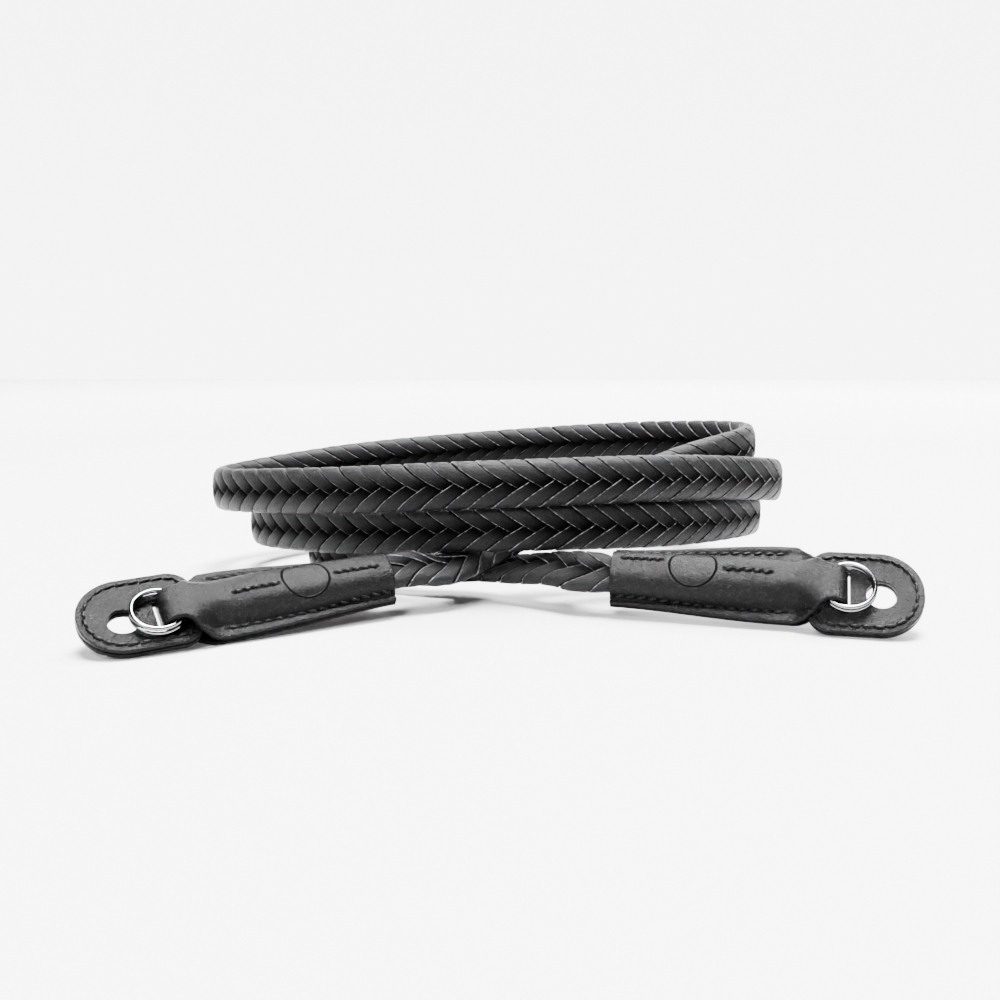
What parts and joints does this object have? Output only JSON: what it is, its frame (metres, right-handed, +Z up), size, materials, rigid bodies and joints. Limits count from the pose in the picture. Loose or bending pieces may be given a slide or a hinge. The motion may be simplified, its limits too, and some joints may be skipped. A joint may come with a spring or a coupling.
{
  "type": "camera strap",
  "caption": "Flat braided leather camera strap lying coiled, each end in a sewn leather tab with a split ring and a holed flap.",
  "frame": {"origin": "middle of the bounding box on the floor the strap lies on", "axes": "+X along the coil's long way towards the right tab, -Y towards the viewer and the two tabs, +Z up"},
  "size_m": [0.1738, 0.1386, 0.0389],
  "materials": {
    "braided_leather": "semi-gloss black",
    "smooth_leather": "satin black with a fine grain",
    "ring_steel": "polished"
  },
  "bodies": {
    "root": {"braided_strap": "braided_leather", "sleeve_left": "smooth_leather", "sleeve_right": "smooth_leather", "flap_back_left": "smooth_leather", "flap_back_right": "smooth_leather", "flap_face_left": "smooth_leather", "flap_face_right": "smooth_leather", "split_ring_left": "ring_steel", "split_ring_right": "ring_steel"}
  },
  "joints": []
}
